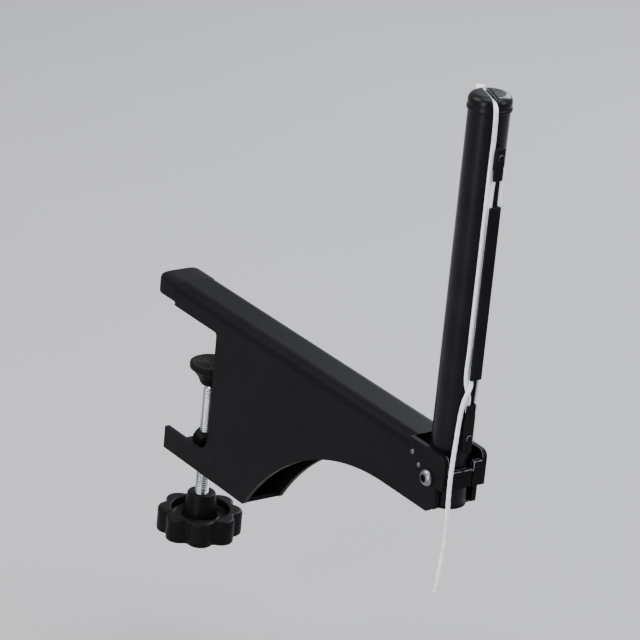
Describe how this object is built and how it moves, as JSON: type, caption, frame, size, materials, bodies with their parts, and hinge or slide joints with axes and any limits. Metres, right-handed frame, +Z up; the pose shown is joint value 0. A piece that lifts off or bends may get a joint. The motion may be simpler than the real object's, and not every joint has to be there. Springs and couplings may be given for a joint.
{
  "type": "table tennis net clamp",
  "caption": "Folded steel bracket with a thumb screw that grips a table edge and a round post whose grooved cap and winder hold the net's tension cord.",
  "frame": {"origin": "centre of the upper jaw's contact face, on the clamp screw's axis: a point on the table's top surface", "axes": "+Z up, along the post and the screw; +X away from the table, along the bracket; Y across the bracket"},
  "size_m": [0.2091, 0.0362, 0.2509],
  "materials": {
    "bracket_paint": "satin",
    "nose_plastic": "satin",
    "pad_rubber": "matte",
    "zinc_steel": "satin",
    "post_paint": "gloss",
    "black_plastic": "satin",
    "cap_plastic": "gloss",
    "white_cord": "matte",
    "screw_steel": "gloss",
    "knob_plastic": "satin",
    "brass": "satin"
  },
  "bodies": {
    "bracket": {"bracket_shell": "bracket_paint", "lower_web": "bracket_paint", "arm_nose": "nose_plastic", "jaw_pad": "pad_rubber", "screw_nut": "bracket_paint", "post_tube": "post_paint", "post_foot_plug": "black_plastic", "post_bolt": "zinc_steel", "bolt_washer": "zinc_steel", "bolt_nut": "zinc_steel", "locating_pins": "zinc_steel", "post_cap": "cap_plastic", "cord_winder": "black_plastic", "winder_rivets": "bracket_paint", "tension_cord": "white_cord", "cord_winding": "white_cord", "net_end_knot": "white_cord", "cord_tip": "white_cord"},
    "foot": {"pressure_foot": "black_plastic", "foot_pad": "pad_rubber", "foot_ring": "zinc_steel"},
    "screw": {"clamp_screw": "screw_steel", "knob": "knob_plastic", "knob_nut": "brass", "knob_cap": "knob_plastic"}
  },
  "joints": [
    {"name": "clamp_travel", "type": "slide", "parent": "bracket", "child": "foot", "axis": [0, 0, 1], "range_m": [-0.0201, 0.0151]},
    {"name": "screw_turn", "type": "hinge", "parent": "foot", "child": "screw", "pos_m": [0, 0, -0.03], "axis": [0, 0, 1], "range_deg": [-7200, 5400]}
  ],
  "couplings": [
    {"joint": "clamp_travel", "follows": "screw_turn", "m_per_rad": 0.00015915}
  ]
}
